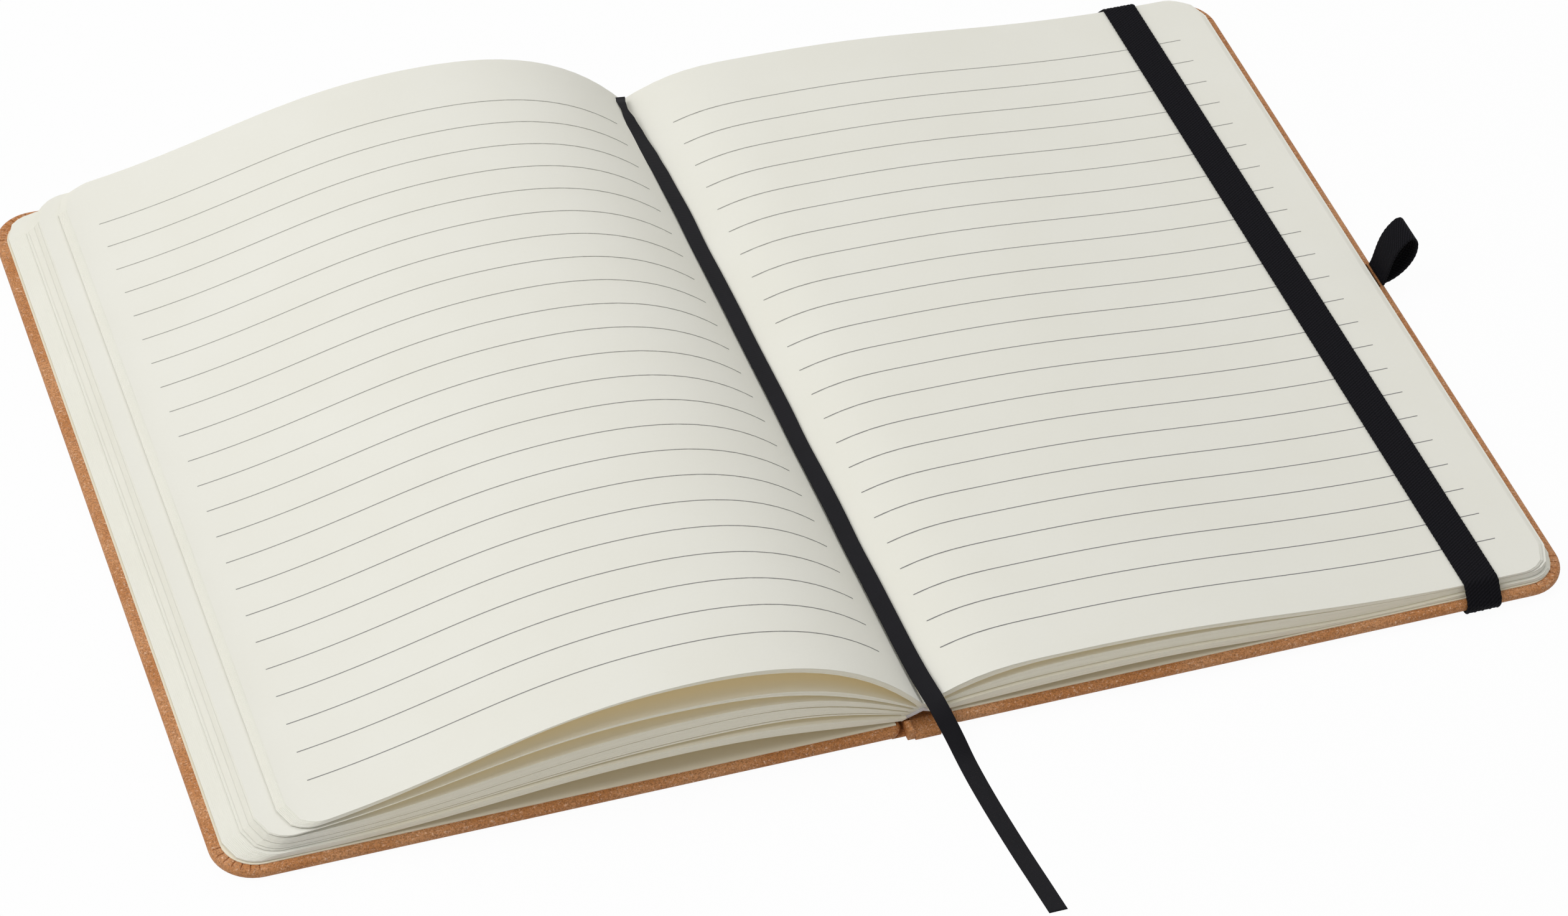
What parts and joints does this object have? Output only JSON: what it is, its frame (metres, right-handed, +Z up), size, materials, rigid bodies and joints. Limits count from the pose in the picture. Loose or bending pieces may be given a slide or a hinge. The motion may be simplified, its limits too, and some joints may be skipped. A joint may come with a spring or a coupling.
{
  "type": "hardcover notebook",
  "caption": "Casebound ruled notebook lying open, with an elastic closing band, a pen loop and a ribbon bookmark; the front cover turns at its joint.",
  "frame": {"origin": "middle of the spine strip's underside, on the table the notebook lies on", "axes": "+X from the front cover to the back cover, +Y from tail to head, +Z up"},
  "size_m": [0.3247, 0.2817, 0.0284],
  "materials": {
    "covering": "satin, fine grain with pale flecks",
    "board": "matte",
    "paper": "matte, cream, ruled",
    "lining": "matte",
    "elastic": "ribbed woven elastic",
    "ribbon": "satin"
  },
  "bodies": {
    "root": {"back_and_spine_covering": "covering", "back_board": "board", "spine_card": "board", "back_pastedown": "paper", "spine_lining": "lining", "pages": "paper", "elastic_band": "elastic", "pen_loop": "elastic", "bookmark_ribbon": "ribbon"},
    "front_cover": {"front_covering": "covering", "front_board": "board", "front_pastedown": "paper"}
  },
  "joints": [
    {"name": "front_joint", "type": "hinge", "parent": "root", "child": "front_cover", "pos_m": [-0.0044, 0, 0], "axis": [0, -1, 0], "range_deg": [0, 90]}
  ]
}
